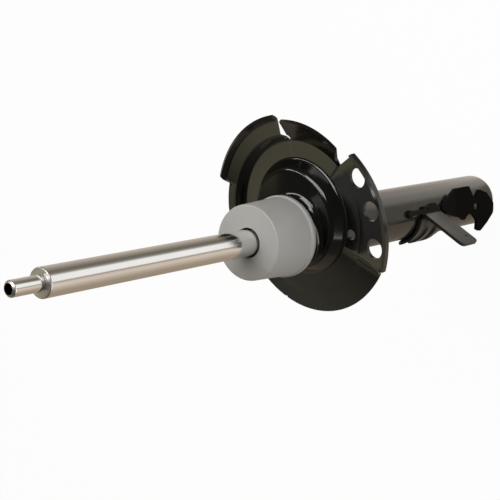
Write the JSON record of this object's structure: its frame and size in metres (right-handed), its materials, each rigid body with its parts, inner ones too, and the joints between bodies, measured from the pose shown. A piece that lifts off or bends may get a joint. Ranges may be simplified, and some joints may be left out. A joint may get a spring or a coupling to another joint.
{
  "type": "strut assembly",
  "caption": "Twin-tube gas suspension strut with an offset leaning spring seat, a moulded bump cap, a hose bracket and a sensor bracket; its rod slides, turns and is sprung out.",
  "frame": {"origin": "centre of the closed lower end of the tube, on its flat outer face", "axes": "+Z along the tube towards the rod end, +X to the side of the hose and sensor brackets, +Y to the side that the spring seat is offset to"},
  "size_m": [0.1846, 0.1755, 0.6453],
  "materials": {
    "tube_paint": "gloss",
    "seat_paint": "satin",
    "bracket_paint": "matte",
    "rod_chrome": "polished",
    "cap_plastic": "satin",
    "steel": "satin",
    "sintered": "matte",
    "bronze": "satin",
    "seal_rubber": "matte",
    "bumper_rubber": "satin",
    "band_plastic": "satin"
  },
  "bodies": {
    "strut_tube": {"reservoir_tube": "tube_paint", "base_cap": "tube_paint", "pressure_tube": "steel", "rod_guide": "sintered", "guide_bush": "bronze", "seal_carrier": "steel", "rod_seal": "seal_rubber", "seal_spring": "steel", "closing_washer": "steel", "bump_cap": "cap_plastic", "spring_seat": "seat_paint", "hose_saddle": "bracket_paint", "hose_tab": "bracket_paint", "sensor_bracket": "bracket_paint", "base_valve_body": "sintered", "base_valve_discs": "steel", "base_valve_pin": "steel", "base_check_spring": "steel"},
    "slide_band": {"piston_band": "band_plastic"},
    "rod": {"piston_rod": "rod_chrome", "rebound_stop": "steel", "rebound_bumper": "bumper_rubber", "lift_stop": "steel", "piston": "sintered", "rebound_discs": "steel", "disc_washer": "steel", "piston_nut": "steel", "piston_check_spring": "steel"},
    "base_plate": {"base_check_plate": "steel"},
    "piston_plate": {"piston_check_plate": "steel"}
  },
  "joints": [
    {"name": "rod_slide", "type": "slide", "parent": "strut_tube", "child": "slide_band", "axis": [0, 0, 1], "range_m": [-0.17, 0], "stiffness_N_per_m": 200, "springref_m": 0.5},
    {"name": "rod_turn", "type": "hinge", "parent": "slide_band", "child": "rod", "pos_m": [0, 0, 0.28], "axis": [0, 0, 1], "continuous": true},
    {"name": "base_check_lift", "type": "slide", "parent": "strut_tube", "child": "base_plate", "axis": [0, 0, 1], "range_m": [0, 0.001], "stiffness_N_per_m": 400, "springref_m": -0.004, "deforming": ["base_check_spring"]},
    {"name": "piston_check_lift", "type": "slide", "parent": "rod", "child": "piston_plate", "axis": [0, 0, 1], "range_m": [0, 0.001], "stiffness_N_per_m": 400, "springref_m": -0.004, "deforming": ["piston_check_spring"]}
  ]
}
